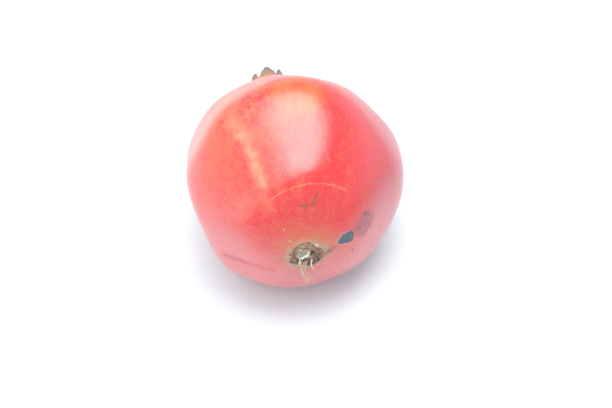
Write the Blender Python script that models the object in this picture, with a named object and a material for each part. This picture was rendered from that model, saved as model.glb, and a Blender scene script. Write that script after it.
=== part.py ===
"""A pomegranate lying on its side.

The frame: the origin is the middle of the small flat spot that the fruit rests on, +Z is up, and
+Y runs from the stem to the crown. Lengths are metres, and angles are degrees until they are used.

Two angles name a direction from the fruit's middle. "Polar" counts from the stem (0) over the
belly (90) to the crown (180), and "around" counts about that axis from +X (0) up to +Z (90).
"""

import math

import bmesh
import bpy
import numpy as np

MM = 0.001

# ---- The body ---------------------------------------------------------------------------------
MIDDLE = (-2.0 * MM, -2.0 * MM, 45.5 * MM)  # the fruit's middle, on its stem-to-crown axis
ROUNDING = 18.0  # how tightly the flattened sides meet: higher is sharper
ROUND_LIMIT = 54.0 * MM  # the sphere that rounds off every corner
# The flattened sides that grow where the chambers of seeds press on the rind: around, polar, and
# each side's distance from the middle.
SIDES = (
    # Above, from the left to the right.
    (139, 68, 40.2 * MM),
    (112, 71, 39.6 * MM),
    (91, 75, 39.9 * MM),
    (62, 70, 42.4 * MM),
    (50, 52, 42.9 * MM),
    # The right shoulder and flank.
    (47, 100, 43.1 * MM),
    (35, 87, 44.0 * MM),
    (33, 114, 44.2 * MM),
    (3, 44, 42.9 * MM),
    (2, 84, 48.2 * MM),
    (330, 70, 49.0 * MM),
    # The back.
    (70, 130, 40.4 * MM),
    (115, 125, 39.6 * MM),
    (150, 110, 39.8 * MM),
    (225, 135, 45.0 * MM),
    (330, 130, 46.5 * MM),
    # The left flank and the underside.
    (195, 88, 39.4 * MM),
    (185, 42, 42.6 * MM),
    (235, 52, 46.4 * MM),
    (270, 50, 52.0 * MM),
    (270, 90, 45.75 * MM),
    (275, 20, 44.4 * MM),
    (304, 46, 47.8 * MM),
    # The stem end and the crown end.
    (92, 24, 41.5 * MM),
    (0, 0, 43.2 * MM),
    (0, 180, 40.5 * MM),
)

# ---- The stem end -----------------------------------------------------------------------------
DIMPLE_RADIUS, DIMPLE_DEPTH = 9.0 * MM, 1.4 * MM
CALLUS_RADIUS, CALLUS_WIDTH, CALLUS_HEIGHT = 6.2 * MM, 1.5 * MM, 1.0 * MM
SOCKET_RADIUS, SOCKET_DEPTH, SOCKET_LIP = 3.9 * MM, 1.6 * MM, 0.45 * MM
STEM_REACH = 42.5 * MM  # from the middle to the rind round the stem
STEM_RINGS = (1.3, 2.5, 3.4, 4.2, 5.1, 6.2, 7.4, 9.0, 11.2)  # millimetres out from the axis

STUB_RADIUS, STUB_END_RADIUS, STUB_LENGTH = 3.1 * MM, 2.7 * MM, 3.7 * MM
STUB_SEGMENTS = 24
BREAK_INSET, BREAK_HOLLOW = 0.9 * MM, 0.5 * MM  # the torn end is hollow inside its rim
BREAK_TILT, BREAK_JAGS = 0.45 * MM, 0.25 * MM  # two high places, and five small points
BREAK_HIGHS, BREAK_POINTS, BREAK_TURN = 2, 5, 0.6
BREAK_FACING = 0.9  # a face whose normal points this far out of the stalk is its broken end
STUB_RIDGES, RIDGE_SHARE, RIDGE_TURN = 4, 0.05, 1.0
GAP = 0.3 * MM  # between any two pieces

# ---- The crown --------------------------------------------------------------------------------
LOBES = 6
LOBE_HEIGHTS = (7.2, 7.8, 7.4, 8.2, 7.0, 8.4)  # millimetres from notch to tip, top lobe first
LOBE_TIP_RADII = (7.4, 6.6, 8.0, 6.9, 7.8, 7.4)  # millimetres from the crown's axis
LOBE_ROUNDNESS, LOBE_FULLNESS = 2.0, 0.9  # higher is a blunter tip, and lower a fuller lobe
NOTCH_Y = 50.5 * MM  # from the fruit's middle to the notches between the lobes
TUBE_TOP_Y = 49.0 * MM  # the tube below the notches is whole up to here
NECK_RADIUS = 9.2 * MM
CROWN_ROOT_POLAR = 160.5  # where the rind turns up into the crown
ROOT_FLARE = 2.6  # how quickly the flare at the crown's root dies out up the tube
LEAN_START = 2.0 * MM  # the lobes start to lean in this far below the notches
WALL_AT_NECK, WALL_AT_RIM = 2.3 * MM, 1.3 * MM
CUP_FLOOR_Y = 43.6 * MM
FLOOR_DISH, FLOOR_DISH_MIDDLE = 0.4 * MM, 0.5 * MM  # how far the cup's floor sinks towards its middle

SEGMENTS = 72  # twelve to each lobe
BELLY_RINGS = 27
# Rings on the crown's wall: from 0 at its root to 1 at the top of the tube and 2 at the rim.
OUTER_STEPS = (0.12, 0.32, 0.6, 1.0, 1.35, 1.7, 1.94)
INNER_STEPS = (1.92, 1.6, 1.25, 0.9, 0.45, 0.08)
RIM_CREST = 0.35 * MM  # the rim's rounded crest stands this far past both walls
FLOOR_SHARES = (0.72, 0.36)  # rings on the cup's floor, as shares of its radius

# ---- The dried stamens and the stem's loose fibres ----------------------------------------------
STAMENS = 24
STAMEN_RADIUS = 0.3 * MM
STAMEN_RING = 5.2 * MM  # the outermost stamen's distance from the crown's axis
STAMEN_POINTS = 7
GOLDEN_ANGLE = 137.5
STAMEN_LENGTH, STAMEN_SHORTER, STAMEN_UNEVEN = 6.6 * MM, 1.6 * MM, 0.7 * MM  # outer ones are shorter
STAMEN_UNEVEN_TURN = 2.4  # from each stamen to the next, so that no two in a row are as long
STAMEN_LEAN, STAMEN_WOBBLE, STAMEN_BEND = 0.06, 0.22 * MM, 3.0
ANTHER_SWELLING = 1.9

FIBRE_RADIUS = 0.28 * MM
FIBRE_POINTS = 11
FIBRE_ROOT_GAP = 0.75 * MM  # from the stub's rim to the side of a fibre
FIBRE_THICK, FIBRE_THIN = 1.15, 0.55  # times the radius, at the root and at the loose end
FIBRE_CURLS = 0.8  # turns of the sideways curl
FIBRE_FORWARD = 0.8  # the share of its reach that a fibre stands out in front at its middle
FIBRE_SAG = 1.3  # higher keeps a fibre level for longer before it hangs
# Each fibre leaves the stub's rim at an angle around it, reaches out in front, hangs down by a
# drop and curls sideways: around, reach, drop, curl, all but the angle in millimetres.
FIBRES = (
    (224, 0.0, 9.5, -0.6),
    (240, 1.4, 14.5, -0.9),
    (256, 2.0, 15.5, -1.2),
    (272, 1.0, 12.5, -1.1),
    (300, 2.0, 5.5, -0.5),
    (207, 1.2, 5.0, 0.5),
)

COLLECTION = "pomegranate"
CREASE_ANGLE = 50.0  # a corner sharper than this stays crisp


def clear_scene():
    for obj in list(bpy.data.objects):
        bpy.data.objects.remove(obj, do_unlink=True)


def make_material(name, colour, roughness, metallic=0.0):
    material = bpy.data.materials.new(name)
    material.use_nodes = True
    shader = material.node_tree.nodes["Principled BSDF"]
    shader.inputs["Base Color"].default_value = (*colour, 1.0)
    shader.inputs["Roughness"].default_value = roughness
    shader.inputs["Metallic"].default_value = metallic
    material.diffuse_color = (*colour, 1.0)
    return material


def smoothstep(low, high, value):
    share = np.clip((value - low) / (high - low), 0.0, 1.0)
    return share * share * (3.0 - 2.0 * share)


def direction(around, polar):
    """The unit vector at these angles. X, Y and Z are the last axis."""
    around, polar = np.radians(around), np.radians(polar)
    across = np.sin(polar)
    return np.stack([across * np.cos(around), -np.cos(polar), across * np.sin(around)], axis=-1)


def belly_radius(unit):
    """From the middle to the rind: the flattened sides, blended into each other."""
    sides = np.array([direction(around, polar) for around, polar, _ in SIDES])
    distances = np.array([distance for _, _, distance in SIDES])
    facing = np.maximum(unit @ sides.T, 0.0) / distances
    total = (facing**ROUNDING).sum(axis=-1) + ROUND_LIMIT**-ROUNDING
    return total ** (-1.0 / ROUNDING)


def stem_relief(from_axis):
    """How far the rind stands out round the stem: a shallow dimple, a corky ring and a socket."""
    dimple = -DIMPLE_DEPTH * np.exp(-((from_axis / DIMPLE_RADIUS) ** 2))
    callus = CALLUS_HEIGHT * np.exp(-(((from_axis - CALLUS_RADIUS) / CALLUS_WIDTH) ** 2))
    socket = -SOCKET_DEPTH * smoothstep(SOCKET_RADIUS + SOCKET_LIP, SOCKET_RADIUS - SOCKET_LIP, from_axis)
    return dimple + callus + socket


def belly_points(around, polar):
    unit = direction(around, polar)
    radius = belly_radius(unit)
    from_axis = radius * np.sin(np.radians(polar))
    relief = np.where(np.asarray(polar) < 90.0, stem_relief(from_axis), 0.0)
    places = unit * radius[..., None]
    places[..., 1] -= relief
    return places


def lobe_of(around):
    """The number of the lobe that each angle falls in, and how far it is from the lobe's middle,
    from 0 there to 1 in the notches. Lobe 0 points straight up."""
    turns = (np.asarray(around, float) - 90.0) / (360.0 / LOBES)
    number = np.round(turns)
    return number.astype(int) % LOBES, np.abs(turns - number) * 2.0


def crown_point(around, station, wall_share):
    """A point on the crown: the station is 0 at its root, 1 at the top of the tube and 2 at the
    rim, and the wall share is 0 on the outside and 1 on the inside."""
    number, off_middle = lobe_of(around)
    height = np.array(LOBE_HEIGHTS)[number] * MM
    tip_radius = np.array(LOBE_TIP_RADII)[number] * MM
    rim_y = NOTCH_Y + height * (1.0 - off_middle**LOBE_ROUNDNESS) ** LOBE_FULLNESS
    root = belly_points(around, np.full(np.shape(around), CROWN_ROOT_POLAR))
    root_radius = np.hypot(root[..., 0], root[..., 2])
    start_y = root[..., 1] + (CUP_FLOOR_Y - root[..., 1]) * wall_share
    tube_share, lobe_share = min(station, 1.0), max(station - 1.0, 0.0)
    y = start_y + (TUBE_TOP_Y - start_y) * tube_share + (rim_y - TUBE_TOP_Y) * lobe_share
    lean = smoothstep(NOTCH_Y - LEAN_START, NOTCH_Y + height, y)
    radius = NECK_RADIUS + (tip_radius - NECK_RADIUS) * lean
    wall = WALL_AT_NECK + (WALL_AT_RIM - WALL_AT_NECK) * lean
    flare = (root_radius - NECK_RADIUS) * (1.0 - tube_share) ** ROOT_FLARE
    return crown_place(around, radius - wall * wall_share + flare * (1.0 - wall_share), y)


def rim_point(around):
    """The rounded crest of the crown's rim, between the two walls."""
    place = crown_point(around, 2.0, 0.5)
    place[..., 1] += RIM_CREST
    return place


def crown_place(around, radius, y):
    angle = np.radians(around)
    y = np.broadcast_to(y, np.shape(radius))
    return np.stack([radius * np.cos(angle), y, radius * np.sin(angle)], axis=-1)


def fruit_rings():
    """Functions of the angle around, one for each ring of vertices from the stem's socket, over
    the belly, up the crown's outside and down into its cup."""
    rings = []
    stem_polars = [math.degrees(math.asin(mm * MM / STEM_REACH)) for mm in STEM_RINGS]
    first = stem_polars[-1]
    step = (CROWN_ROOT_POLAR - first) / BELLY_RINGS
    polars = stem_polars + [first + step * (i + 1) for i in range(BELLY_RINGS)]
    for polar in polars:
        rings.append(lambda around, polar=polar: belly_points(around, np.full(around.shape, polar)))
    for station in OUTER_STEPS:
        rings.append(lambda around, station=station: crown_point(around, station, 0.0))
    rings.append(rim_point)
    for station in INNER_STEPS:
        rings.append(lambda around, station=station: crown_point(around, station, 1.0))
    cup_radius = NECK_RADIUS - WALL_AT_NECK
    for share in FLOOR_SHARES:
        rings.append(
            lambda around, share=share: crown_place(
                around, np.full(around.shape, cup_radius * share), CUP_FLOOR_Y - FLOOR_DISH
            )
        )
    return rings


def build_fruit(collection, material):
    """The rind and the crown grew as one piece, so they are one closed skin: a sphere whose
    rings are moved to the fruit's outline, with the lowest part pressed flat."""
    rings = fruit_rings()
    mesh = bpy.data.meshes.new("fruit")
    skin = bmesh.new()
    bmesh.ops.create_uvsphere(skin, u_segments=SEGMENTS, v_segments=len(rings) + 1, radius=1.0)
    skin.verts.ensure_lookup_table()
    old = np.array([vertex.co[:] for vertex in skin.verts])
    ring_angle = np.arccos(np.clip(old[:, 2], -1.0, 1.0)) / math.pi
    ring_number = np.round(ring_angle * (len(rings) + 1)).astype(int)
    around = np.degrees(np.arctan2(old[:, 1], old[:, 0]))
    new = np.zeros_like(old)
    for number, ring in enumerate(rings, start=1):
        chosen = ring_number == number
        new[chosen] = ring(around[chosen])
    stem_pole = belly_points(np.array([0.0]), np.array([0.0]))[0]
    new[ring_number == 0] = stem_pole
    new[ring_number == len(rings) + 1] = (0.0, CUP_FLOOR_Y - FLOOR_DISH_MIDDLE, 0.0)
    new += np.array(MIDDLE)
    new[:, 2] = np.maximum(new[:, 2], 0.0)
    for vertex, place in zip(skin.verts, new):
        vertex.co = place
    skin.to_mesh(mesh)
    skin.free()
    return add_object("fruit", mesh, material, collection)


def stem_face_y():
    """How far forward the rind reaches on the stem's axis, at the bottom of the socket."""
    return MIDDLE[1] + belly_points(np.array([0.0]), np.array([0.0]))[0][1]


def build_stub(collection, material):
    """The woody end of the stalk, snapped off unevenly a few millimetres proud of the rind."""
    mesh = bpy.data.meshes.new("stem_stub")
    wood = bmesh.new()
    bmesh.ops.create_cone(
        wood,
        cap_ends=True,
        segments=STUB_SEGMENTS,
        radius1=STUB_RADIUS,
        radius2=STUB_END_RADIUS,
        depth=STUB_LENGTH,
    )
    broken = [face for face in wood.faces if face.normal.z > BREAK_FACING]
    bmesh.ops.inset_region(wood, faces=broken, thickness=BREAK_INSET, depth=-BREAK_HOLLOW)
    for vertex in wood.verts:
        angle = math.atan2(vertex.co.y, vertex.co.x)
        if vertex.co.z > 0.0:
            vertex.co.z += BREAK_TILT * math.sin(BREAK_HIGHS * angle + BREAK_TURN)
            vertex.co.z += BREAK_JAGS * math.sin(BREAK_POINTS * angle)
        ridge = 1.0 + RIDGE_SHARE * math.sin(STUB_RIDGES * angle + RIDGE_TURN)
        vertex.co.x *= ridge
        vertex.co.y *= ridge
    for vertex in wood.verts:
        x, y, z = vertex.co
        root_y = stem_face_y() - GAP
        vertex.co = (MIDDLE[0] + x, root_y - STUB_LENGTH / 2 - z, MIDDLE[2] + y)
    bmesh.ops.recalc_face_normals(wood, faces=wood.faces)
    wood.to_mesh(mesh)
    wood.free()
    return add_object("stem_stub", mesh, material, collection)


def build_thread(name, points, radii, thickness, collection, material):
    """A thin round thread through the points, closed at both ends."""
    curve = bpy.data.curves.new(name, "CURVE")
    curve.dimensions = "3D"
    curve.bevel_depth = thickness
    curve.bevel_resolution = 1
    curve.use_fill_caps = True
    spline = curve.splines.new("POLY")
    spline.points.add(len(points) - 1)
    for point, place, radius in zip(spline.points, points, radii):
        point.co = (*place, 1.0)
        point.radius = radius
    return add_object(name, curve, material, collection)


def fibre_points(around, reach, drop, curl):
    """From the stub's side out over the corky ring, then down in front of the rind."""
    angle = math.radians(around)
    start_radius = STUB_END_RADIUS + FIBRE_ROOT_GAP + FIBRE_RADIUS
    start = np.array([start_radius * math.cos(angle), 0.0, start_radius * math.sin(angle)])
    front_y = stem_face_y() - GAP - STUB_LENGTH + FIBRE_RADIUS
    points = []
    for i in range(FIBRE_POINTS):
        t = i / (FIBRE_POINTS - 1)
        sideways = curl * MM * math.sin(2.0 * math.pi * FIBRE_CURLS * t)
        forward = reach * MM * FIBRE_FORWARD * math.sin(math.pi * t)
        down = drop * MM * t**FIBRE_SAG
        place = start + np.array([sideways, -forward, -down])
        points.append((MIDDLE[0] + place[0], front_y + place[1], MIDDLE[2] + place[2]))
    return points


def build_fibres(collection, material):
    for number, (around, reach, drop, curl) in enumerate(FIBRES, start=1):
        points = fibre_points(around, reach, drop, curl)
        shares = [i / (FIBRE_POINTS - 1) for i in range(FIBRE_POINTS)]
        radii = [FIBRE_THICK + (FIBRE_THIN - FIBRE_THICK) * share for share in shares]
        build_thread(f"stem_fibre_{number}", points, radii, FIBRE_RADIUS, collection, material)


def build_stamens(collection, material):
    """The flower's dried stamens stand in the crown's cup, each with a small dry anther."""
    root_y = MIDDLE[1] + CUP_FLOOR_Y + GAP
    for number in range(STAMENS):
        share = math.sqrt((number + 0.5) / STAMENS)
        angle = math.radians(GOLDEN_ANGLE * number)
        outward = np.array([math.cos(angle), 0.0, math.sin(angle)])
        along = np.array([-math.sin(angle), 0.0, math.cos(angle)])
        uneven = STAMEN_UNEVEN * math.sin(STAMEN_UNEVEN_TURN * number)
        length = STAMEN_LENGTH - STAMEN_SHORTER * share + uneven
        points = []
        radii = []
        for i in range(STAMEN_POINTS):
            t = i / (STAMEN_POINTS - 1)
            out = STAMEN_RING * share * (1.0 + STAMEN_LEAN * t * (1.0 - 2.0 * t))
            wobble = STAMEN_WOBBLE * math.sin(STAMEN_BEND * t + number)
            place = outward * out + along * wobble
            points.append((MIDDLE[0] + place[0], root_y + length * t, MIDDLE[2] + place[2]))
            radii.append(ANTHER_SWELLING if i == STAMEN_POINTS - 2 else 1.0)
        build_thread(f"stamen_{number + 1:02d}", points, radii, STAMEN_RADIUS, collection, material)


def add_object(name, data, material, collection):
    data.materials.append(material)
    obj = bpy.data.objects.new(name, data)
    collection.objects.link(obj)
    if isinstance(data, bpy.types.Mesh):
        data.shade_smooth()
        data.set_sharp_from_angle(angle=math.radians(CREASE_ANGLE))
    return obj


def main():
    clear_scene()
    collection = bpy.data.collections.new(COLLECTION)
    bpy.context.scene.collection.children.link(collection)
    rind = make_material("rind", (0.62, 0.07, 0.06), 0.38)
    wood = make_material("stub_wood", (0.42, 0.36, 0.28), 0.85)
    straw = make_material("dry_fibre", (0.66, 0.52, 0.30), 0.8)
    stamen = make_material("dry_stamen", (0.45, 0.30, 0.13), 0.85)
    build_fruit(collection, rind)
    build_stub(collection, wood)
    build_fibres(collection, straw)
    build_stamens(collection, stamen)


main()
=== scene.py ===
"""The looks of a pomegranate lying on its side: rind, crown, broken stem end and dried stamens.

Lengths are metres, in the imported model's frame: the origin is the middle of the flat spot that the
fruit rests on, +Z is up and +Y runs from the stem to the crown.
"""

import math
import random

import bmesh
import bpy
from mathutils import Matrix, Vector, noise


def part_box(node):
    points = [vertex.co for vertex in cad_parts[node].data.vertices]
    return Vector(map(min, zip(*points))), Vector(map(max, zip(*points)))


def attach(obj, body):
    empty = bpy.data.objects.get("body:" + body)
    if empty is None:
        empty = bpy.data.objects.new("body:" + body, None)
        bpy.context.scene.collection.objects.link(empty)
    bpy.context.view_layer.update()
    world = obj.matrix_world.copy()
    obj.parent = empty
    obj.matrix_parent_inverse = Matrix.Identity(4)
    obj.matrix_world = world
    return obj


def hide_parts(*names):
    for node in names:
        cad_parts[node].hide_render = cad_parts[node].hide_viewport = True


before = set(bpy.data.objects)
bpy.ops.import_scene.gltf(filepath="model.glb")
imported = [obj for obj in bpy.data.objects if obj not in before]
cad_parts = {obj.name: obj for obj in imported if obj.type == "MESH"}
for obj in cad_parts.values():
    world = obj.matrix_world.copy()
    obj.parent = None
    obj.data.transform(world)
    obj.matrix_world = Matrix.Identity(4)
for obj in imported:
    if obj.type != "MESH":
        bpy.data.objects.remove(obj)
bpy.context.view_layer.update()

MM = 0.001
STUB_LOW, STUB_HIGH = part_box("stem_stub")
MIDDLE = Vector((-2.0, -2.0, (STUB_LOW.z + STUB_HIGH.z) / 2 / MM)) * MM  # on its stem-to-crown axis
FRUIT_LOW, FRUIT_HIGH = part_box("fruit")
BALL = (FRUIT_HIGH.x - FRUIT_LOW.x) / 2  # marks on the rind are laid out on a ball this large
FIBRE_FRONT_Y = STUB_HIGH.y - 3.7 * MM  # where the loose fibres leave the stub


# ---- Helpers for meshes -------------------------------------------------------------------------
def clear_selection():
    if bpy.context.object and bpy.context.object.mode != "OBJECT":
        bpy.ops.object.mode_set(mode="OBJECT")
    bpy.ops.object.select_all(action="DESELECT")


def select_only(obj):
    clear_selection()
    obj.select_set(True)
    bpy.context.view_layer.objects.active = obj


def apply_modifier(obj, kind, **settings):
    select_only(obj)
    modifier = obj.modifiers.new(kind.title(), kind)
    for name, value in settings.items():
        setattr(modifier, name, value)
    bpy.ops.object.modifier_apply(modifier=modifier.name)


def place_in_mesh(obj, matrix=None):
    """Moves the object's place into its mesh, so that the object sits at the origin."""
    obj.data.transform(matrix if matrix is not None else obj.matrix_world)
    obj.matrix_world = Matrix.Identity(4)


def join(objects, name):
    clear_selection()
    for obj in objects:
        obj.select_set(True)
    bpy.context.view_layer.objects.active = objects[0]
    if len(objects) > 1:
        bpy.ops.object.join()
    joined = bpy.context.object
    joined.name = name
    joined.data.name = name
    return joined


def finish_piece(obj, material, replaced=()):
    """Shades a piece smooth, gives it its material and fastens it to the fruit."""
    select_only(obj)
    bpy.ops.object.shade_smooth_by_angle(angle=math.radians(60.0))
    obj.data.materials.clear()
    obj.data.materials.append(material)
    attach(obj, "root")
    if replaced:
        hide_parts(*replaced)


def smoothstep(low, high, value):
    share = min(max((value - low) / (high - low), 0.0), 1.0)
    return share * share * (3.0 - 2.0 * share)


def bell(value, middle, width):
    return math.exp(-(((value - middle) / width) ** 2))


def tube(points, radii, sides=6):
    """A closed tapering tube through the points, as a mesh object in place."""
    curve = bpy.data.curves.new("tube", "CURVE")
    curve.dimensions = "3D"
    curve.bevel_depth = 1.0
    curve.bevel_resolution = max((sides - 4) // 2, 0)
    curve.use_fill_caps = True
    spline = curve.splines.new("POLY")
    spline.points.add(len(points) - 1)
    for point, place, radius in zip(spline.points, points, radii):
        point.co = (*place, 1.0)
        point.radius = radius
    obj = bpy.data.objects.new("tube", curve)
    bpy.context.scene.collection.objects.link(obj)
    select_only(obj)
    bpy.ops.object.convert(target="MESH")
    obj = bpy.context.object
    bpy.ops.object.mode_set(mode="EDIT")
    bpy.ops.mesh.select_all(action="SELECT")
    bpy.ops.mesh.remove_doubles(threshold=1e-6)
    bpy.ops.mesh.normals_make_consistent(inside=False)
    bpy.ops.object.mode_set(mode="OBJECT")
    return obj


# ---- Helpers for materials ----------------------------------------------------------------------
class Graph:
    """Adds nodes to a material or a group, with one short call for each."""

    def __init__(self, tree):
        self.tree = tree

    def node(self, kind, inputs=None, **settings):
        made = self.tree.nodes.new(kind)
        for name, value in settings.items():
            setattr(made, name, value)
        for name, value in (inputs or {}).items():
            self.feed(made.inputs[name], value)
        return made

    def feed(self, socket, value):
        if isinstance(value, bpy.types.NodeSocket):
            self.tree.links.new(value, socket)
        else:
            socket.default_value = value

    def math(self, operation, a, b=0.0, c=0.0, clamp=False):
        made = self.node("ShaderNodeMath", operation=operation, use_clamp=clamp)
        for socket, value in zip(made.inputs, (a, b, c)):
            self.feed(socket, value)
        return made.outputs[0]

    def vector(self, operation, a, b=(0.0, 0.0, 0.0), scale=None):
        made = self.node("ShaderNodeVectorMath", operation=operation)
        self.feed(made.inputs[0], a)
        if scale is None:
            self.feed(made.inputs[1], b)
        else:
            self.feed(made.inputs["Scale"], scale)
        scalar = operation in ("LENGTH", "DISTANCE", "DOT_PRODUCT")
        return made.outputs["Value" if scalar else "Vector"]

    def map(self, value, low, high, to_low=0.0, to_high=1.0, smooth=True):
        made = self.node("ShaderNodeMapRange", interpolation_type="SMOOTHSTEP" if smooth else "LINEAR")
        for socket, item in zip(made.inputs, (value, low, high, to_low, to_high)):
            self.feed(socket, item)
        return made.outputs["Result"]

    def mix(self, share, a, b, blend="MIX"):
        made = self.node("ShaderNodeMix", data_type="RGBA", blend_type=blend)
        self.feed(made.inputs["Factor"], share)
        self.feed(made.inputs["A"], colour(a))
        self.feed(made.inputs["B"], colour(b))
        return made.outputs["Result"]

    def blend_value(self, share, a, b):
        made = self.node("ShaderNodeMix", data_type="FLOAT")
        self.feed(made.inputs["Factor"], share)
        self.feed(made.inputs["A"], a)
        self.feed(made.inputs["B"], b)
        return made.outputs["Result"]

    def noise(self, place, scale, detail=2.0, roughness=0.5, distortion=0.0):
        made = self.node(
            "ShaderNodeTexNoise",
            {"Vector": place, "Scale": scale, "Detail": detail, "Roughness": roughness,
             "Distortion": distortion},
        )
        return made.outputs["Fac"]

    def noise_vector(self, place, scale):
        """A noise direction, centred on zero, to push a pattern about."""
        made = self.node("ShaderNodeTexNoise", {"Vector": place, "Scale": scale, "Detail": 2.0})
        return self.vector("SUBTRACT", made.outputs["Color"], (0.5, 0.5, 0.5))

    def group(self, tree, inputs, output):
        made = self.node("ShaderNodeGroup", node_tree=tree)
        for name, value in inputs.items():
            self.feed(made.inputs[name], value)
        return made.outputs[output]


def colour(value):
    """A plain colour gets its alpha; a socket stays as it is."""
    if isinstance(value, bpy.types.NodeSocket) or len(value) == 4:
        return value
    return (*value, 1.0)


def new_group(name, inputs, outputs):
    """An empty shader node group. Inputs are name: default, and a tuple default makes a vector."""
    tree = bpy.data.node_groups.new(name, "ShaderNodeTree")
    for label, default in inputs.items():
        kind = "NodeSocketVector" if isinstance(default, tuple) else "NodeSocketFloat"
        socket = tree.interface.new_socket(label, in_out="INPUT", socket_type=kind)
        socket.default_value = default
    for label in outputs:
        tree.interface.new_socket(label, in_out="OUTPUT", socket_type="NodeSocketFloat")
    given = tree.nodes.new("NodeGroupInput").outputs
    out = tree.nodes.new("NodeGroupOutput").inputs
    return tree, Graph(tree), given, out


def make_stroke_group():
    """A painted stroke: 1 on the straight line from Start to End, fading out at Width from it."""
    tree, g, given, out = new_group(
        "stroke",
        {"Place": (0.0, 0.0, 0.0), "Start": (0.0, 0.0, 0.0), "End": (0.0, 0.0, 0.0), "Width": 0.001,
         "Softness": 0.5},
        ("Mask",),
    )
    along = g.vector("SUBTRACT", given["End"], given["Start"])
    reach = g.vector("SUBTRACT", given["Place"], given["Start"])
    length = g.vector("DOT_PRODUCT", along, along)
    share = g.math("DIVIDE", g.vector("DOT_PRODUCT", reach, along), length, clamp=True)
    nearest = g.vector("SCALE", along, scale=share)
    distance = g.vector("DISTANCE", reach, nearest)
    inner = g.math("MULTIPLY", given["Width"], g.math("SUBTRACT", 1.0, given["Softness"]))
    g.feed(out["Mask"], g.map(distance, given["Width"], inner))
    return tree


def make_spot_group():
    """A ragged round spot: 1 inside Radius of Centre, with an edge that wanders by Ragged."""
    tree, g, given, out = new_group(
        "spot",
        {"Place": (0.0, 0.0, 0.0), "Centre": (0.0, 0.0, 0.0), "Radius": 0.003, "Ragged": 0.001,
         "Detail Size": 0.002, "Edge": 0.0005},
        ("Mask",),
    )
    distance = g.vector("DISTANCE", given["Place"], given["Centre"])
    scale = g.math("DIVIDE", 1.0, given["Detail Size"])
    wander = g.math("SUBTRACT", g.noise(given["Place"], scale, 3.0, 0.6), 0.5)
    edge = g.math("ADD", distance, g.math("MULTIPLY", wander, g.math("MULTIPLY", given["Ragged"], 4.0)))
    outside = g.math("ADD", given["Radius"], given["Edge"])
    g.feed(out["Mask"], g.map(edge, outside, given["Radius"]))
    return tree


def make_speckle_group():
    """Small round specks, about Spacing apart: Amount of them show, each up to Size across."""
    tree, g, given, out = new_group(
        "speckle",
        {"Place": (0.0, 0.0, 0.0), "Spacing": 0.001, "Size": 0.0004, "Amount": 0.5},
        ("Mask",),
    )
    cells = g.node(
        "ShaderNodeTexVoronoi",
        {"Vector": given["Place"], "Scale": g.math("DIVIDE", 1.0, given["Spacing"]), "Randomness": 1.0},
        feature="F1",
    )
    radius = g.math("DIVIDE", given["Size"], g.math("MULTIPLY", given["Spacing"], 2.0))
    dot = g.map(cells.outputs["Distance"], radius, g.math("MULTIPLY", radius, 0.3))
    pick = g.node("ShaderNodeSeparateColor", {"Color": cells.outputs["Color"]}).outputs[0]
    shown = g.math("LESS_THAN", pick, given["Amount"])
    g.feed(out["Mask"], g.math("MULTIPLY", dot, shown))
    return tree


def make_axis_group():
    """Where a point lies on the fruit: its distance out from a line through Centre that runs from
    stem to crown, how far it is along it, and a streak pattern that runs the same way."""
    tree, g, given, out = new_group(
        "fruit_axis",
        {"Place": (0.0, 0.0, 0.0), "Centre": tuple(MIDDLE), "Streak Scale": 6.0},
        ("Out", "Along", "Streak"),
    )
    local = g.vector("SUBTRACT", given["Place"], given["Centre"])
    parts = g.node("ShaderNodeSeparateXYZ", {"Vector": local})
    flat = g.node("ShaderNodeCombineXYZ", {"X": parts.outputs["X"], "Z": parts.outputs["Z"]})
    distance = g.vector("LENGTH", flat.outputs[0])
    around = g.vector("NORMALIZE", flat.outputs[0])
    lifted = g.node("ShaderNodeCombineXYZ", {"Y": g.math("MULTIPLY", parts.outputs["Y"], 9.0)})
    streak_place = g.vector("ADD", around, lifted.outputs[0])
    g.feed(out["Out"], distance)
    g.feed(out["Along"], parts.outputs["Y"])
    g.feed(out["Streak"], g.noise(streak_place, given["Streak Scale"], 4.0, 0.62))
    return tree


def make_grain_group():
    """Fine fibres that run along one direction, for dry wood, bark and stamens."""
    tree, g, given, out = new_group(
        "fibre_grain",
        {"Place": (0.0, 0.0, 0.0), "Stretch": (1.0, 0.12, 1.0), "Scale": 2500.0},
        ("Grain",),
    )
    stretched = g.vector("MULTIPLY", given["Place"], given["Stretch"])
    g.feed(out["Grain"], g.noise(stretched, given["Scale"], 4.0, 0.65))
    return tree


STROKE = make_stroke_group()
SPOT = make_spot_group()
SPECKLE = make_speckle_group()
AXIS = make_axis_group()
GRAIN = make_grain_group()


def new_material(name, preview):
    """A material with its shader ready, and a Graph to build the rest in."""
    material = bpy.data.materials.new(name)
    material.use_nodes = True
    material.diffuse_color = (*preview, 1.0)
    g = Graph(material.node_tree)
    shader = material.node_tree.nodes["Principled BSDF"]
    place = g.node("ShaderNodeTexCoord").outputs["Object"]
    return material, g, shader, place


def bump(g, height, strength, distance, normal=None):
    made = g.node("ShaderNodeBump", {"Height": height, "Strength": strength, "Distance": distance})
    if normal is not None:
        g.feed(made.inputs["Normal"], normal)
    return made.outputs["Normal"]


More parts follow.
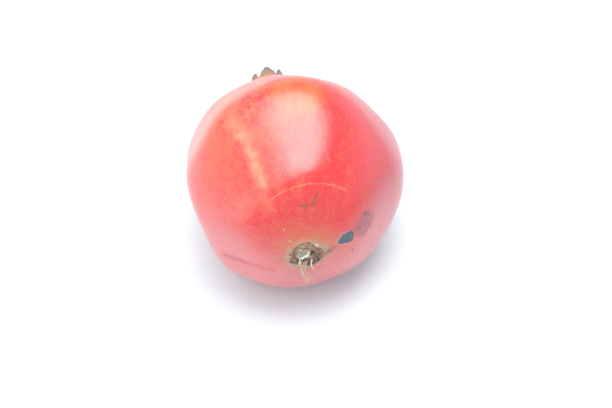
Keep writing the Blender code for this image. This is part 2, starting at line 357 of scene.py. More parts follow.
# ---- The rind -----------------------------------------------------------------------------------
RED = (0.60, 0.010, 0.018)
GROOVE_SHADE_RED = (0.42, 0.009, 0.020)
CORAL = (0.60, 0.060, 0.030)
APRICOT = (0.60, 0.150, 0.060)
ORANGE = (0.47, 0.115, 0.022)
YELLOW = (0.60, 0.225, 0.110)
OLIVE = (0.150, 0.090, 0.025)
PALE_SPECK = (0.62, 0.180, 0.130)
BRUISE = (0.310, 0.045, 0.085)
BRUISE_DARK = (0.130, 0.030, 0.026)
ROSE_AND_PAINTED_LIGHT = (0.500, 0.062, 0.085)
SCAB = (0.150, 0.055, 0.016)
FLOOR_REFLECTION_PINK = (0.630, 0.185, 0.200)
TEAL = (0.008, 0.036, 0.048)
TEAL_PALE = (0.035, 0.085, 0.105)
STRAW = (0.580, 0.360, 0.190)
SCAB_EDGE_HIGHLIGHT = (0.600, 0.400, 0.380)
BARK_TAN = (0.360, 0.230, 0.130)
BARK_PURPLE = (0.180, 0.080, 0.065)
DARK_BARK_AND_SHADE = (0.035, 0.020, 0.016)
PALE_BARK_AND_HIGHLIGHT = (0.600, 0.500, 0.440)
DRY_TAN = (0.380, 0.220, 0.095)
DRY_GREY = (0.130, 0.120, 0.105)
WOOD_SHADE = (0.17, 0.13, 0.10)
WOOD_GREY = (0.46, 0.42, 0.36)
PALE_WOOD_AND_HIGHLIGHT = (0.58, 0.55, 0.50)
FIBRE_SHADE = (0.42, 0.30, 0.17)
FIBRE_PALE = (0.78, 0.66, 0.45)
FLOOR_BLUE = (0.745, 0.845, 0.885)
FLOOR_PALE = (0.765, 0.865, 0.905)

def toward(around, polar):
    """The place on the ball in one direction from the fruit's middle. Both are degrees: around the
    stem's axis, from the right (+X) up over the top, and away from the stem."""
    turn, tilt = math.radians(around), math.radians(polar)
    flat = math.sin(tilt)
    return Vector((flat * math.cos(turn), -math.cos(tilt), flat * math.sin(turn))) * BALL


def curve(start, middle, end, steps):
    """Places along an even curve over the ball that passes through three directions."""
    places = []
    for step in range(steps + 1):
        share = step / steps
        first = (1.0 - share) * (1.0 - 2.0 * share)
        second = 4.0 * share * (1.0 - share)
        third = share * (2.0 * share - 1.0)
        around = first * start[0] + second * middle[0] + third * end[0]
        polar = first * start[1] + second * middle[1] + third * end[1]
        places.append(toward(around, polar))
    return places


# A soft yellow streak down the left ridge, and its bright middle.
RIDGE_STREAK = curve((123, 91), (117, 64), (121, 37), steps=4)
STREAK_CORE = curve((120, 79), (116, 65), (119, 48), steps=2)
# A thin healed scratch over the front, and a brown scar like a cross between it and the stem: each
# stroke's two ends, then its width in millimetres.
SCRATCH = curve((118, 39), (84, 42), (52, 41), steps=6)
SCAR_STROKES = (
    ((77, 37), (81, 31), 0.80),
    ((94, 31), (88, 30), 0.65),
    ((88, 30), (78, 31), 0.65),
    ((88, 31), (90, 27), 0.55),
    ((101, 40), (101, 38), 0.40),
)
# Round the stem: a corky wedge and a crease on the right, painted dark as shade, which runs on to the
# teal scab, a raised lip above with a painted highlight, short olive lines on the left, and a groove low
# on the left, painted darker as shade.
STEM_WEDGE = (toward(-34, 8), toward(-7, 13))
CREASE = curve((-20, 7), (-2, 12), (8, 17), steps=2)
HIGHLIT_LIP = curve((86, 6), (60, 7), (34, 8), steps=2)
OLIVE_LINES = tuple((toward(around, 11), toward(around, 15)) for around in (179, 187, 196))
GROOVE = curve((199, 47), (201, 34), (216, 21), steps=3)
SCAB_CORNERS = tuple(
    toward(*corner) for corner in ((8, 16), (24, 21), (21, 26), (14, 27), (1, 25), (5, 20))
)
BRUISE_CENTRE = toward(12, 35)
# Dark flecks in and round the bruise, and pale ones above the stem: direction, then radius in
# millimetres.
FLECKS = (((22, 37), 1.2), ((19, 39), 0.8), ((13, 31), 0.6), ((5, 38), 0.5), ((-15, 26), 0.6))
PALE_FLECKS = (((131, 13), 0.8), ((123, 21), 0.6))
ORANGE_PATCH, FLECKED_PATCH = toward(83, 96), toward(86, 91)
SCAR_DROP = 1.5 * MM  # the scar round the stem hangs this far below the axis
SCAR_CENTRE = Vector((MIDDLE.x, 0.0, MIDDLE.z - SCAR_DROP))
# Small pits in the scar's lower edge.
PIT_PLACES = tuple(toward(around, 10) for around in (218, 256, 284, 312))
PIT_RADIUS = 0.8


def onto_ball(g, place):
    """A place moved straight in or out from the fruit's middle onto the ball."""
    outward = g.vector("NORMALIZE", g.vector("SUBTRACT", place, tuple(MIDDLE)))
    return g.vector("SCALE", outward, scale=BALL)


def shaken(g, place, scale, reach):
    """A place on the ball, pushed about by noise so that a mark's edges wander."""
    push = g.vector("SCALE", g.noise_vector(place, scale), scale=reach * MM)
    return onto_ball(g, g.vector("ADD", place, push))


def path_mask(g, place, points, width, softness=0.6):
    """The strokes between the points, joined into one mask."""
    mask = None
    for start, end in zip(points, points[1:]):
        stroke = g.group(
            STROKE,
            {"Place": place, "Start": tuple(start), "End": tuple(end),
             "Width": width * MM, "Softness": softness},
            "Mask",
        )
        mask = stroke if mask is None else g.math("MAXIMUM", mask, stroke)
    return mask


def spot_mask(g, place, centre, radius, ragged, detail, edge):
    return g.group(
        SPOT,
        {"Place": place, "Centre": tuple(centre), "Radius": radius * MM, "Ragged": ragged * MM,
         "Detail Size": detail * MM, "Edge": edge * MM},
        "Mask",
    )


def speckle_mask(g, place, spacing, size, amount):
    return g.group(
        SPECKLE, {"Place": place, "Spacing": spacing * MM, "Size": size * MM, "Amount": amount}, "Mask"
    )


def corner_depth(g, place, corners):
    """How deep inside a patch with straight sides a place lies, looking along the fruit's axis."""
    depth = None
    for start, end in zip(corners, corners[1:] + corners[:1]):
        side = Vector((end.x - start.x, 0.0, end.z - start.z)).normalized()
        inward = Vector((side.z, 0.0, -side.x))
        inside = g.math("SUBTRACT", g.vector("DOT_PRODUCT", place, tuple(inward)), start.dot(inward))
        depth = inside if depth is None else g.math("MINIMUM", depth, inside)
    return depth


def times(g, *values):
    """Masks multiplied together."""
    result = values[0]
    for value in values[1:]:
        result = g.math("MULTIPLY", result, value)
    return result


def add_skin_colour(g, place, along, streak):
    """Red that turns coral and apricot towards the left and the crown, with pale pink painted on the
    underside and the left flank as reflection of the bright floor.
    """
    parts = g.node("ShaderNodeSeparateXYZ", {"Vector": place}).outputs
    x, z = parts["X"], parts["Z"]
    cloud = g.noise(place, 38.0, 3.0, 0.55)
    mottle = g.noise(place, 240.0, 4.0, 0.65)
    fine = g.noise(place, 900.0, 3.0, 0.7)
    fine_streak = g.group(AXIS, {"Place": place, "Streak Scale": 30.0}, "Streak")
    warm = g.math("ADD", times(g, g.map(x, 0.016, -0.040), 0.70), times(g, cloud, 0.60))
    for pattern, spread, strength in (
        (streak, 0.12, 0.30), (mottle, 0.08, 0.26), (fine, 0.06, 0.30), (fine_streak, 0.10, 0.34)
    ):
        shift = g.map(pattern, 0.5 - spread, 0.5 + spread, -strength, strength)
        warm = g.math("ADD", warm, shift)
    skin = g.mix(g.map(warm, -0.05, 1.45), RED, CORAL)
    sunny = times(g, g.map(along, -0.026, 0.022), g.map(x, 0.010, -0.022))
    skin = g.mix(times(g, sunny, g.map(warm, -0.4, 0.8), 0.70), skin, APRICOT)
    flame = times(g, g.map(along, 0.010, 0.040), g.map(streak, 0.45, 0.66))
    skin = g.mix(times(g, flame, 0.6), skin, ORANGE)
    # Towards the right the red turns a duller, pinker rose: partly the rind's crimson tone there, partly
    # painted reflection and painted shade on that side.
    rose_and_painted_light = times(g, g.map(x, 0.014, 0.034), g.map(warm, 0.0, 1.0, 0.9, 0.6))
    skin = g.mix(rose_and_painted_light, skin, ROSE_AND_PAINTED_LIGHT)
    # Painted reflection of the bright floor: pale pink on the left flank and on the lower side.
    flank_reflection = g.map(g.math("ADD", x, times(g, g.math("SUBTRACT", cloud, 0.5), 0.006)), -0.031, -0.044)
    lowness = g.math("SUBTRACT", z, g.map(x, -0.015, -0.040, 0.0, 0.013))
    uneven = times(g, g.math("SUBTRACT", mottle, 0.5), 0.012)
    underside_reflection = g.map(g.math("ADD", lowness, uneven), 0.060, 0.034)
    skin = g.mix(times(g, g.math("MAXIMUM", flank_reflection, underside_reflection), 0.62), skin, FLOOR_REFLECTION_PINK)
    return skin, mottle, fine, fine_streak


def add_top_patch(g, skin, place, streak, mottle):
    """The orange patch on top with its olive flecks, which run towards the crown."""
    ball = onto_ball(g, place)
    patch = spot_mask(g, ball, ORANGE_PATCH, 7.0, 1.6, 6.0, 8.0)
    share = times(g, patch, g.map(streak, 0.35, 0.6, 0.45, 0.95))
    skin = g.mix(times(g, share, 0.85), skin, ORANGE)
    stretched = g.vector("MULTIPLY", place, (1.0, 0.45, 1.0))
    flecks = times(g, speckle_mask(g, stretched, 1.9, 1.7, 0.55), g.map(mottle, 0.36, 0.52))
    wide = spot_mask(g, ball, FLECKED_PATCH, 10.0, 1.5, 6.0, 5.0)
    return g.mix(times(g, flecks, wide, 0.65), skin, OLIVE)


def add_marks(g, skin, place, mottle):
    """The yellow ridge streak, the groove, the healed scratch and the bruise with its flecks."""
    ball = onto_ball(g, place)
    drifting = shaken(g, place, 90.0, 6.0)
    wandering = shaken(g, place, 700.0, 0.6)
    ridge = times(g, path_mask(g, drifting, RIDGE_STREAK, 5.0, 1.0), 0.45)
    ridge = g.math("MAXIMUM", ridge, path_mask(g, drifting, STREAK_CORE, 4.8, 1.0))
    skin = g.mix(times(g, ridge, g.map(mottle, 0.40, 0.60, 0.45, 0.80)), skin, YELLOW)

    # The groove is painted darker red: painted shade in its dent.
    groove = path_mask(g, drifting, GROOVE, 2.4, 0.9)
    skin = g.mix(times(g, groove, 0.5), skin, GROOVE_SHADE_RED)
    scratch = times(g, path_mask(g, wandering, SCRATCH, 0.42, 0.9), g.map(mottle, 0.35, 0.6, 0.40, 0.80))
    skin = g.mix(times(g, scratch, 0.8), skin, YELLOW)

    broken = g.noise(place, 900.0, 3.0, 0.65)
    scars = None
    for start, end, width in SCAR_STROKES:
        stroke = path_mask(g, wandering, (toward(*start), toward(*end)), width, 0.7)
        scars = stroke if scars is None else g.math("MAXIMUM", scars, stroke)
    skin = g.mix(times(g, scars, g.map(broken, 0.42, 0.58, 0.45, 0.95)), skin, SCAB)

    bruise = spot_mask(g, ball, BRUISE_CENTRE, 4.4, 1.6, 4.0, 3.5)
    blotches = g.map(broken, 0.42, 0.58, 0.35, 0.95)
    skin = g.mix(times(g, bruise, blotches), skin, BRUISE)
    specks = times(g, speckle_mask(g, place, 0.9, 0.8, 0.55), bruise)
    for direction, radius in FLECKS:
        fleck = spot_mask(g, ball, toward(*direction), radius * 0.7, 0.35, 0.6, 0.5)
        specks = g.math("MAXIMUM", specks, fleck)
    skin = g.mix(times(g, specks, 0.85), skin, BRUISE_DARK)

    rough_places = g.math("MAXIMUM", g.math("MAXIMUM", scars, specks), times(g, bruise, 0.7))
    return skin, scratch, scars, rough_places


def add_teal_scab(g, skin, place):
    """A dry blue-green scab with straight sides, and a painted highlight along its upper edge."""
    wandering = shaken(g, place, 700.0, 0.6)
    parts = g.node("ShaderNodeSeparateXYZ", {"Vector": onto_ball(g, place)}).outputs
    front = g.map(parts["Y"], -0.030, -0.034)
    depth = corner_depth(g, wandering, SCAB_CORNERS)
    # The pale band along the scab's upper left edge is a painted highlight.
    edge = times(g, front, g.map(depth, -0.0009, -0.0002), g.map(parts["X"], 0.0185, 0.0160))
    teal = times(g, front, g.map(depth, -0.0002, 0.0002))
    grit = g.map(g.noise(place, 1100.0, 3.0, 0.7), 0.44, 0.58)
    skin = g.mix(times(g, edge, 0.40), skin, SCAB_EDGE_HIGHLIGHT)
    skin = g.mix(times(g, teal, 0.97), skin, g.mix(times(g, grit, 0.9), TEAL, TEAL_PALE))
    return skin, teal


def add_stem_scar(g, skin, place, along, mottle):
    """The stem's end: a brown halo, radial streaks, olive lines and a cracked corky ring, with painted
    shade in its crease, crevice, pits and lower rim and painted highlights on its upper flakes and lip.
    """
    near = g.map(along, -0.030, -0.036)
    around = g.node(
        "ShaderNodeGroup",
        {"Place": place, "Centre": tuple(SCAR_CENTRE), "Streak Scale": 14.0},
        node_tree=AXIS,
    )
    out = around.outputs["Out"]
    rays = around.outputs["Streak"]
    z = g.node("ShaderNodeSeparateXYZ", {"Vector": place}).outputs["Z"]
    above = g.map(z, SCAR_CENTRE.z - 2 * MM, SCAR_CENTRE.z + 6 * MM)
    ball = onto_ball(g, place)
    for direction, radius in PALE_FLECKS:
        fleck = spot_mask(g, ball, toward(*direction), radius * 0.45, 0.35, 1.0, 0.5)
        skin = g.mix(times(g, fleck, 0.6), skin, STRAW)
    halo = times(g, g.map(out, 0.019, 0.007), near, g.map(rays, 0.38, 0.62, 0.35, 0.9))
    skin = g.mix(times(g, halo, g.map(above, 0.0, 1.0, 0.35, 0.95)), skin, ORANGE)
    close = times(g, g.map(out, 0.0105, 0.0068), near, g.map(mottle, 0.3, 0.6, 0.4, 0.9))
    skin = g.mix(close, skin, BARK_TAN)

    wandering = shaken(g, place, 500.0, 1.2)
    lines = path_mask(g, wandering, OLIVE_LINES[0], 0.34, 0.8)
    for line in OLIVE_LINES[1:]:
        lines = g.math("MAXIMUM", lines, path_mask(g, wandering, line, 0.34, 0.8))
    skin = g.mix(times(g, lines, 0.6), skin, OLIVE)
    # The crease is painted dark purple: painted shade in its dent.
    crease = path_mask(g, wandering, CREASE, 0.8, 0.9)
    skin = g.mix(times(g, crease, 0.6), skin, BARK_PURPLE)

    noise_in_ring = g.noise(place, 420.0, 4.0, 0.7)
    ragged = g.math("ADD", out, times(g, g.math("SUBTRACT", noise_in_ring, 0.5), 0.006))
    wedge = times(g, path_mask(g, wandering, STEM_WEDGE, 2.0, 0.8), 0.9)
    ring = times(g, g.math("MAXIMUM", g.map(ragged, 0.0072, 0.0058), wedge), near)
    bark = g.mix(g.map(mottle, 0.38, 0.60), BARK_PURPLE, BARK_TAN)
    # Pale flakes only on the ring's upper side: pale bark with a painted highlight on it.
    flakes_and_highlight = g.map(g.noise(place, 1300.0, 3.0, 0.7), 0.55, 0.68)
    bark = g.mix(times(g, flakes_and_highlight, above, 0.8), bark, PALE_BARK_AND_HIGHLIGHT)
    cracks = g.map(g.noise(place, 900.0, 4.0, 0.7), 0.47, 0.36)
    bark = g.mix(cracks, bark, DARK_BARK_AND_SHADE)
    # The raised lip above the stem is painted pale: a painted highlight.
    lip = path_mask(g, wandering, HIGHLIT_LIP, 1.0, 0.8)
    bark = g.mix(times(g, lip, 0.8), bark, PALE_BARK_AND_HIGHLIGHT)
    bark = g.mix(times(g, wedge, 0.55), bark, BARK_PURPLE)
    skin = g.mix(ring, skin, bark)
    # A dark band along the ring's lower rim only: painted shade under its edge.
    rim = bell_mask(g, ragged, 0.0064, 0.0009)
    lower_rim_shade = times(g, rim, near, g.map(z, SCAR_CENTRE.z, SCAR_CENTRE.z - 4 * MM))
    skin = g.mix(times(g, lower_rim_shade, 0.8), skin, DARK_BARK_AND_SHADE)
    # The pits are painted dark: painted shade in their hollows.
    for centre in PIT_PLACES:
        pit = spot_mask(g, ball, centre, PIT_RADIUS * 0.8, 0.2, 1.0, 0.6)
        skin = g.mix(times(g, pit, 0.9), skin, DARK_BARK_AND_SHADE)
    # The crevice between the torn wood and the ring is painted dark: painted shade.
    crevice_shade = times(g, g.map(ragged, 0.0044, 0.0034), near)
    return g.mix(crevice_shade, skin, DARK_BARK_AND_SHADE), ring


def bell_mask(g, value, middle, width):
    """1 where the value is at the middle, fading to 0 a width to either side of it."""
    off = g.math("ABSOLUTE", g.math("SUBTRACT", value, middle))
    return g.map(off, width, 0.0)


def add_crown(g, skin, place, along, mottle):
    """Dry tan lobes with grey edges, and dark blotches all over the crown."""
    on_crown = g.map(along, 0.041, 0.049)
    uneven = g.math("SUBTRACT", mottle, 0.5)
    dry = g.math("ADD", on_crown, times(g, uneven, 0.8), clamp=True)
    dry = times(g, dry, g.map(along, 0.038, 0.042))
    skin = g.mix(times(g, dry, 0.92), skin, DRY_TAN)
    grey = g.math("ADD", g.map(along, 0.0495, 0.0560), times(g, uneven, 1.8), clamp=True)
    skin = g.mix(times(g, grey, g.map(along, 0.048, 0.051), 0.95), skin, DRY_GREY)
    dark_blotches = times(g, g.map(g.noise(place, 700.0, 3.0, 0.7), 0.52, 0.62), on_crown)
    return g.mix(times(g, dark_blotches, 0.6), skin, SCAB), dry


def make_rind_material():
    material, g, shader, place = new_material("rind", (0.62, 0.07, 0.06))
    axis = g.node("ShaderNodeGroup", {"Place": place}, node_tree=AXIS)
    along, streak = axis.outputs["Along"], axis.outputs["Streak"]
    skin, mottle, fine, fine_streak = add_skin_colour(g, place, along, streak)
    skin = add_top_patch(g, skin, place, streak, mottle)

    # Pale breathing pores all over.
    pores = speckle_mask(g, place, 1.1, 0.7, 0.6)
    small_pores = speckle_mask(g, place, 0.6, 0.42, 0.7)
    specks = g.math("ADD", times(g, pores, 0.26), times(g, small_pores, 0.18))
    skin = g.mix(specks, skin, PALE_SPECK)

    skin, scratch, scars, rough_places = add_marks(g, skin, place, mottle)
    skin, ring = add_stem_scar(g, skin, place, along, mottle)
    skin, teal = add_teal_scab(g, skin, place)
    skin, dry = add_crown(g, skin, place, along, mottle)

    corky = g.math("MAXIMUM", ring, dry)
    rough = g.blend_value(g.map(fine, 0.3, 0.7), 0.27, 0.36)
    rough = g.blend_value(g.math("MAXIMUM", rough_places, teal), rough, 0.5)
    rough = g.blend_value(corky, rough, 0.85)
    g.feed(shader.inputs["Base Color"], skin)
    g.feed(shader.inputs["Roughness"], rough)
    shader.inputs["Specular IOR Level"].default_value = 0.95
    shader.inputs["Sheen Weight"].default_value = 0.08
    shader.inputs["Sheen Roughness"].default_value = 0.4

    height = g.math("ADD", g.noise(place, 1100.0, 3.0, 0.6), times(g, pores, 0.5))
    height = g.math("ADD", height, times(g, fine_streak, 1.2))
    height = g.math("ADD", height, times(g, scratch, 1.5))
    height = g.math("SUBTRACT", height, times(g, scars, 2.0))
    height = g.math("SUBTRACT", height, times(g, teal, 1.5))
    height = g.math("ADD", height, times(g, corky, g.noise(place, 700.0, 5.0, 0.7), 8.0))
    g.feed(shader.inputs["Normal"], bump(g, height, 0.35, 0.00006))
    return material


def from_line(place, start, end):
    """The distance from a place to the straight piece between two points."""
    along = end - start
    share = min(max((place - start).dot(along) / along.length_squared, 0.0), 1.0)
    return (place - start - along * share).length


def from_path(place, points):
    """The distance from a place to a line through points."""
    return min(from_line(place, start, end) for start, end in zip(points, points[1:]))


def rind_offset(place):
    """How far the skin stands out at a place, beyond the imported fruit's smooth outline."""
    local = place - MIDDLE
    along = local.y
    offset = 0.22 * MM * noise.noise(place * 55.0)
    offset += 0.05 * MM * noise.noise(place * 210.0)
    if along < -20 * MM:
        x, z = place.x - SCAR_CENTRE.x, place.z - SCAR_CENTRE.z
        out = math.hypot(x, z)
        around = math.atan2(z, x)
        ring = bell(out, 5.8 * MM, 2.2 * MM)
        ridges = math.sin(11.0 * around + 2.0 * noise.noise(place * 300.0))
        offset += ring * (0.20 * MM * ridges + 0.55 * MM * noise.noise(place * 620.0))
        folds = bell(out, 12.0 * MM, 5.0 * MM)
        offset += folds * 0.16 * MM * math.sin(9.0 * around + 1.5 + 3.0 * noise.noise(place * 80.0))
        ball = local.normalized() * BALL
        for pit in PIT_PLACES:
            offset -= 0.75 * MM * bell((ball - pit).length, 0.0, PIT_RADIUS * MM)
        offset -= 0.45 * MM * bell(from_path(ball, GROOVE), 0.0, 1.5 * MM)
        offset -= 0.35 * MM * bell(from_path(ball, CREASE), 0.0, 0.8 * MM)
        offset += 0.45 * MM * bell(from_path(ball, HIGHLIT_LIP), 0.0, 0.8 * MM)
    if along > 40 * MM:
        dry = smoothstep(40 * MM, 50 * MM, along)
        around = math.atan2(local.z, local.x)
        wrinkle = math.sin(26.0 * around + 4.0 * noise.noise(place * 120.0))
        offset += dry * (0.10 * MM * wrinkle + 0.22 * MM * noise.noise(place * 260.0))
    return offset


def build_rind(material):
    """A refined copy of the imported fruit: smoother, with dents, folds and wrinkles."""
    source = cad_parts["fruit"]
    rind = bpy.data.objects.new("fruit_rind", source.data.copy())
    bpy.context.scene.collection.objects.link(rind)
    select_only(rind)
    bpy.ops.object.mode_set(mode="EDIT")
    bpy.ops.mesh.select_all(action="SELECT")
    bpy.ops.mesh.remove_doubles(threshold=1e-6)
    bpy.ops.mesh.tris_convert_to_quads(face_threshold=math.radians(60), shape_threshold=math.radians(60))
    bpy.ops.object.mode_set(mode="OBJECT")
    apply_modifier(rind, "SUBSURF", levels=2, render_levels=2)
    rind.data.update()
    normals = [vertex.normal.copy() for vertex in rind.data.vertices]
    for vertex, normal in zip(rind.data.vertices, normals):
        moved = vertex.co + normal * rind_offset(vertex.co)
        vertex.co = (moved.x, moved.y, max(moved.z, 0.0))
    finish_piece(rind, material, ("fruit",))
    return rind


# ---- The broken stem ----------------------------------------------------------------------------
def make_wood_material():
    material, g, shader, place = new_material("stub_wood", (0.42, 0.36, 0.28))
    grain = g.group(GRAIN, {"Place": place, "Stretch": (0.35, 1.0, 1.0), "Scale": 1500.0}, "Grain")
    blotch = g.noise(place, 600.0, 4.0, 0.65)
    parts = g.node("ShaderNodeSeparateXYZ", {"Vector": place}).outputs
    forward = g.math("ADD", parts["Y"], times(g, g.math("SUBTRACT", blotch, 0.5), 0.0016))
    wood = g.mix(g.map(grain, 0.35, 0.65), BARK_PURPLE, BARK_TAN)
    grey = g.mix(g.map(grain, 0.35, 0.62), WOOD_SHADE, WOOD_GREY)
    crest = g.map(forward, STUB_HIGH.y - 2.5 * MM, STUB_HIGH.y - 3.4 * MM)
    leftward = g.map(parts["X"], MIDDLE.x + 2.5 * MM, MIDDLE.x + 0.5 * MM)
    wood = g.mix(times(g, crest, g.map(leftward, 0.0, 1.0, 0.25, 1.0)), wood, grey)
    # The points that stand furthest forward are painted pale: pale dry wood with a painted highlight.
    top = g.map(forward, STUB_HIGH.y - 3.5 * MM, STUB_HIGH.y - 4.1 * MM)
    wood = g.mix(top, wood, PALE_WOOD_AND_HIGHLIGHT)
    # The deepest hollows are painted dark: painted shade.
    deep = g.map(forward, STUB_HIGH.y - 2.1 * MM, STUB_HIGH.y - 1.3 * MM)
    wood = g.mix(deep, wood, DARK_BARK_AND_SHADE)
    g.feed(shader.inputs["Base Color"], wood)
    shader.inputs["Roughness"].default_value = 0.9
    height = g.math("ADD", grain, blotch)
    g.feed(shader.inputs["Normal"], bump(g, height, 0.6, 0.0002))
    return material


def make_fibre_material():
    material, g, shader, place = new_material("dry_fibre", (0.66, 0.52, 0.30))
    grain = g.group(GRAIN, {"Place": place, "Stretch": (1.0, 1.0, 0.15), "Scale": 2600.0}, "Grain")
    straw = g.mix(g.map(grain, 0.3, 0.7), FIBRE_SHADE, FIBRE_PALE)
    g.feed(shader.inputs["Base Color"], straw)
    g.feed(shader.inputs["Roughness"], g.map(grain, 0.3, 0.7, 0.85, 0.65))
    g.feed(shader.inputs["Normal"], bump(g, grain, 0.5, 0.0001))
    return material


def make_stamen_material():
    material, g, shader, place = new_material("dry_stamen", (0.45, 0.30, 0.13))
    grain = g.group(GRAIN, {"Place": place, "Stretch": (1.0, 0.2, 1.0), "Scale": 2200.0}, "Grain")
    thread = g.mix(g.map(grain, 0.3, 0.7), (0.20, 0.11, 0.045), (0.50, 0.32, 0.14))
    g.feed(shader.inputs["Base Color"], thread)
    shader.inputs["Roughness"].default_value = 0.8
    g.feed(shader.inputs["Normal"], bump(g, grain, 0.5, 0.0001))
    return material


STUB_FLARE = 5.8  # the torn wood's radius where it goes under the rind's corky ring
STUB_STEP, STUB_STEPS = 0.48, 11
# The torn wood's shape, in millimetres from the axis: one crest runs across it and up to the right,
# with a deep hollow on the right and a level split above and below.
CREST_TURN, CREST_MIDDLE, CREST_REACH, CREST_HEIGHT = math.radians(30.0), -1.0, 3.0, 1.0
HOLLOW_PLACE, HOLLOW_DEPTH = 2.2, 3.0
SPLIT_PLACE, SPLIT_DEPTH = 3.0, 1.2


def stub_height(x, z):
    """How far the torn wood stands in front of its root, in millimetres."""
    place = Vector((x, 0.0, z))
    height = 1.7 + 1.5 * smoothstep(STUB_FLARE, 3.2, place.length)
    along = x * math.cos(CREST_TURN) + z * math.sin(CREST_TURN)
    across = z * math.cos(CREST_TURN) - x * math.sin(CREST_TURN)
    on_crest = smoothstep(CREST_REACH, 1.5, abs(along - CREST_MIDDLE))
    height += CREST_HEIGHT * bell(across, 0.0, 0.8) * on_crest
    height -= HOLLOW_DEPTH * bell(math.hypot(x - HOLLOW_PLACE, z), 0.0, 0.9)
    height -= SPLIT_DEPTH * bell(abs(z), SPLIT_PLACE, 0.45) * bell(x, -0.5, 2.0)
    torn = abs(noise.noise(Vector((x * 0.9, 4.0, z * 1.9)))) + 0.5 * abs(noise.noise(place * 2.6))
    return height + 0.9 * (0.35 - torn)


def build_stub(material):
    """What is left of the snapped stalk: torn wood that fills the crater, with crests and a hollow."""
    length = STUB_HIGH.y - STUB_LOW.y
    bpy.ops.mesh.primitive_cylinder_add(
        vertices=72, radius=STUB_FLARE * MM, depth=length, end_fill_type="NGON"
    )
    stub = bpy.context.object
    stub.name = "stem_wood"
    bpy.ops.object.mode_set(mode="EDIT")
    bpy.ops.mesh.select_mode(type="FACE")
    bpy.ops.mesh.select_all(action="DESELECT")
    mesh = bmesh.from_edit_mesh(stub.data)
    front = max(mesh.faces, key=lambda face: face.calc_center_median().z)
    front.select_set(True)
    bmesh.update_edit_mesh(stub.data)
    for _ in range(STUB_STEPS):
        bpy.ops.mesh.inset(thickness=STUB_STEP * MM)
    bpy.ops.object.mode_set(mode="OBJECT")
    apply_modifier(stub, "SUBSURF", levels=1, render_levels=1, subdivision_type="SIMPLE")
    turn = Matrix.Rotation(math.radians(90.0), 4, "X")
    place_in_mesh(stub, Matrix.Translation((MIDDLE.x, (STUB_LOW.y + STUB_HIGH.y) / 2, MIDDLE.z)) @ turn)
    for vertex in stub.data.vertices:
        share = (STUB_HIGH.y - vertex.co.y) / length
        x, z = (vertex.co.x - MIDDLE.x) / MM, (vertex.co.z - MIDDLE.z) / MM
        vertex.co.y = STUB_HIGH.y - share * stub_height(x, z) * MM
    apply_modifier(stub, "SUBSURF", levels=1, render_levels=1)
    finish_piece(stub, material, ("stem_stub",))
    return stub


# Each loose fibre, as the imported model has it: the angle round the stub that it leaves from, how
# far it reaches out in front, how far it hangs down and how it curls, then its strands' thickness,
# all in millimetres but the angle.
FIBRES = (
    (224, 0.0, 9.5, -0.6, 0.15),
    (240, 1.4, 14.5, -0.9, 0.16),
    (256, 2.0, 15.5, -1.2, 0.15),
    (272, 1.0, 12.5, -1.1, 0.15),
    (300, 2.0, 5.5, -0.5, 0.24),
    (207, 1.2, 5.0, 0.5, 0.15),
)
FIBRE_RADIUS = 0.28 * MM
FIBRE_START_RADIUS = 3.73 * MM  # from the stub's axis to where a fibre leaves it
STRANDS = 3
FIBRE_STEPS = 22


def fibre_route(around, reach, drop, curl):
    angle = math.radians(around)
    points = []
    for i in range(FIBRE_STEPS + 1):
        t = i / FIBRE_STEPS
        side = curl * MM * math.sin(math.pi * 1.6 * t)
        forward = reach * MM * 0.8 * math.sin(math.pi * t)
        down = drop * MM * t**1.3
        points.append(
            Vector((
                MIDDLE.x + FIBRE_START_RADIUS * math.cos(angle) + side,
                FIBRE_FRONT_Y + FIBRE_RADIUS - forward,
                MIDDLE.z + FIBRE_START_RADIUS * math.sin(angle) - down,
            ))
        )
    return points


def build_fibre(number, row, material):
    """A few thin strands twisted together, coming apart towards the free end."""
    *course, thickness = row
    route = fibre_route(*course)
    strands = []
    for strand in range(STRANDS):
        points = []
        radii = []
        for i, centre in enumerate(route):
            t = i / FIBRE_STEPS
            turn = 2.0 * math.pi * (strand / STRANDS + 1.3 * t) + number
            spread = (0.11 + 0.40 * t**2) * MM
            kink = noise.noise_vector(centre * 420.0 + Vector((strand * 3.0, 0.0, 0.0))) * 0.28 * MM * t
            aside = Vector((math.cos(turn), math.sin(turn), 0.3 * math.sin(turn))) * spread
            points.append(centre + kink + aside)
            radii.append((thickness - 0.09 * t) * MM)
        strands.append(tube(points, radii, sides=6))
    fibre = join(strands, f"bark_fibre_{number}")
    finish_piece(fibre, material, (f"stem_fibre_{number}",))
    return fibre


# ---- The stamens --------------------------------------------------------------------------------
STAMENS = 24
STAMEN_STEPS = 8
ANTHER_SHARE = 0.86  # the anther starts this far up the stamen


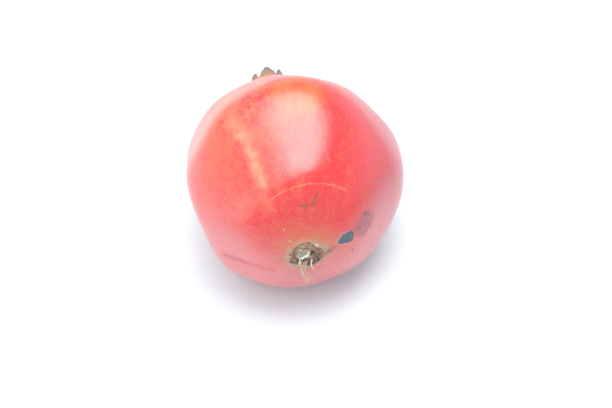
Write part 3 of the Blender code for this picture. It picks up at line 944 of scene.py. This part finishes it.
def build_stamen(number, material):
    """A dried thread with a shrivelled two-lobed anther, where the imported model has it."""
    name = f"stamen_{number:02d}"
    low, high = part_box(name)
    dice = random.Random(number)
    foot = Vector(((low.x + high.x) / 2, low.y, (low.z + high.z) / 2))
    outward = Vector((foot.x - MIDDLE.x, 0.0, foot.z - MIDDLE.z))
    lean = outward.normalized() if outward.length > 0.0005 else Vector((1, 0, 0))
    sideways = lean.cross(Vector((0, 1, 0)))
    length = high.y - low.y
    points = []
    radii = []
    for i in range(STAMEN_STEPS + 1):
        t = i / STAMEN_STEPS
        rise = Vector((0, length * t * ANTHER_SHARE, 0))
        leaning = lean * (0.12 * MM * t)
        sway = 0.18 * MM * math.sin(3.2 * t + number)
        points.append(foot + rise + leaning + sideways * sway)
        radii.append((0.20 - 0.06 * t) * MM)
    parts = [tube(points, radii, sides=6)]
    tip = points[-1]
    for side in (-1, 1):
        bpy.ops.mesh.primitive_uv_sphere_add(segments=12, ring_count=8, radius=1.0)
        lobe = bpy.context.object
        size = Vector((0.26, 0.62, 0.24)) * MM * dice.uniform(0.85, 1.1)
        place_in_mesh(lobe, Matrix.Diagonal((*size, 1.0)))
        twist = Matrix.Rotation(dice.uniform(0, math.pi), 4, "Y") @ Matrix.Rotation(side * 0.25, 4, "Z")
        offset = twist @ Vector((side * 0.2 * MM, 0.0, 0.0))
        place_in_mesh(lobe, Matrix.Translation(tip + offset + Vector((0, 0.25 * MM, 0))) @ twist)
        parts.append(lobe)
    stamen = join(parts, f"dried_{name}")
    finish_piece(stamen, material, (name,))
    return stamen


# ---- The stage ----------------------------------------------------------------------------------
CAMERA_AZIMUTH, CAMERA_ELEVATION = -9.0, 48.0
CAMERA_LENS = 70.0
CAMERA_DISTANCE = 0.4897
LOOKED_AT = Vector((-2.0, -2.0, 41.5)) * MM
AIM_RIGHT, AIM_DOWN = 7.0 * MM, 9.7 * MM  # the fruit sits a little left of the view's middle and above it


def view_axes(azimuth, elevation):
    """Unit vectors from the subject towards the camera, to its right and upwards in the view."""
    a, e = math.radians(azimuth), math.radians(elevation)
    back = Vector((math.sin(a) * math.cos(e), -math.cos(a) * math.cos(e), math.sin(e)))
    right = Vector((math.cos(a), math.sin(a), 0.0))
    return back, right, back.cross(right)


def look_along(obj, direction):
    obj.rotation_euler = direction.to_track_quat("-Z", "Y").to_euler()


def build_camera():
    back, right, up = view_axes(CAMERA_AZIMUTH, CAMERA_ELEVATION)
    data = bpy.data.cameras.new("camera")
    data.lens = CAMERA_LENS
    data.sensor_width = 36.0
    data.clip_start = 0.01
    camera = bpy.data.objects.new("camera", data)
    bpy.context.scene.collection.objects.link(camera)
    camera.location = LOOKED_AT + back * CAMERA_DISTANCE
    look_along(camera, LOOKED_AT + right * AIM_RIGHT - up * AIM_DOWN - camera.location)
    bpy.context.scene.camera = camera


def add_softbox(name, place, size, radiance):
    """A round soft light that looks at the fruit, with the same brightness from every side."""
    data = bpy.data.lights.new(name, "AREA")
    data.shape = "DISK"
    data.size = size
    data.energy = radiance * math.pi * math.pi * (size / 2) ** 2
    data.color = (1.0, 0.985, 0.96)
    light = bpy.data.objects.new(name, data)
    bpy.context.scene.collection.objects.link(light)
    light.location = place
    look_along(light, LOOKED_AT - Vector(place))


def build_floor():
    bpy.ops.mesh.primitive_plane_add(size=6.0)
    floor = bpy.context.object
    floor.name = "floor"
    material, g, shader, place = new_material("pale_floor", (0.8, 0.8, 0.8))
    cloud = g.noise(place, 3.0, 2.0, 0.5)
    g.feed(shader.inputs["Base Color"], g.mix(cloud, FLOOR_BLUE, FLOOR_PALE))
    shader.inputs["Roughness"].default_value = 0.9
    floor.data.materials.append(material)


WALL_TOP, WALL_LIGHT, CEILING_LIGHT = 0.20, 1.20, 0.45
# Each lamp's name, place, width and brightness.
LAMPS = (
    ("window", (0.042, -0.012, 0.42), 0.32, 5.6),
    ("ceiling", (-0.17, -0.03, 0.60), 0.80, 1.40),
    ("left_panel", (-0.60, -0.24, 0.22), 0.50, 1.5),
)


def build_light():
    """A pale studio, dimmer overhead than round the walls, with three soft lamps."""
    world = bpy.data.worlds.new("soft_studio")
    world.use_nodes = True
    g = Graph(world.node_tree)
    sky = world.node_tree.nodes["Background"]
    sky.inputs["Color"].default_value = (0.90, 0.95, 1.0, 1.0)
    facing = g.node("ShaderNodeTexCoord").outputs["Generated"]
    upward = g.node("ShaderNodeSeparateXYZ", {"Vector": facing}).outputs["Z"]
    g.feed(sky.inputs["Strength"], g.map(upward, WALL_TOP, 1.0, WALL_LIGHT, CEILING_LIGHT))
    bpy.context.scene.world = world
    for lamp in LAMPS:
        add_softbox(*lamp)
    bpy.context.scene.view_settings.view_transform = "Standard"


def main():
    rind = make_rind_material()
    wood = make_wood_material()
    straw = make_fibre_material()
    stamen = make_stamen_material()
    clear_selection()
    build_rind(rind)
    clear_selection()
    build_stub(wood)
    for number, row in enumerate(FIBRES, start=1):
        build_fibre(number, row, straw)
    for number in range(1, STAMENS + 1):
        build_stamen(number, stamen)
    build_floor()
    build_camera()
    build_light()


main()
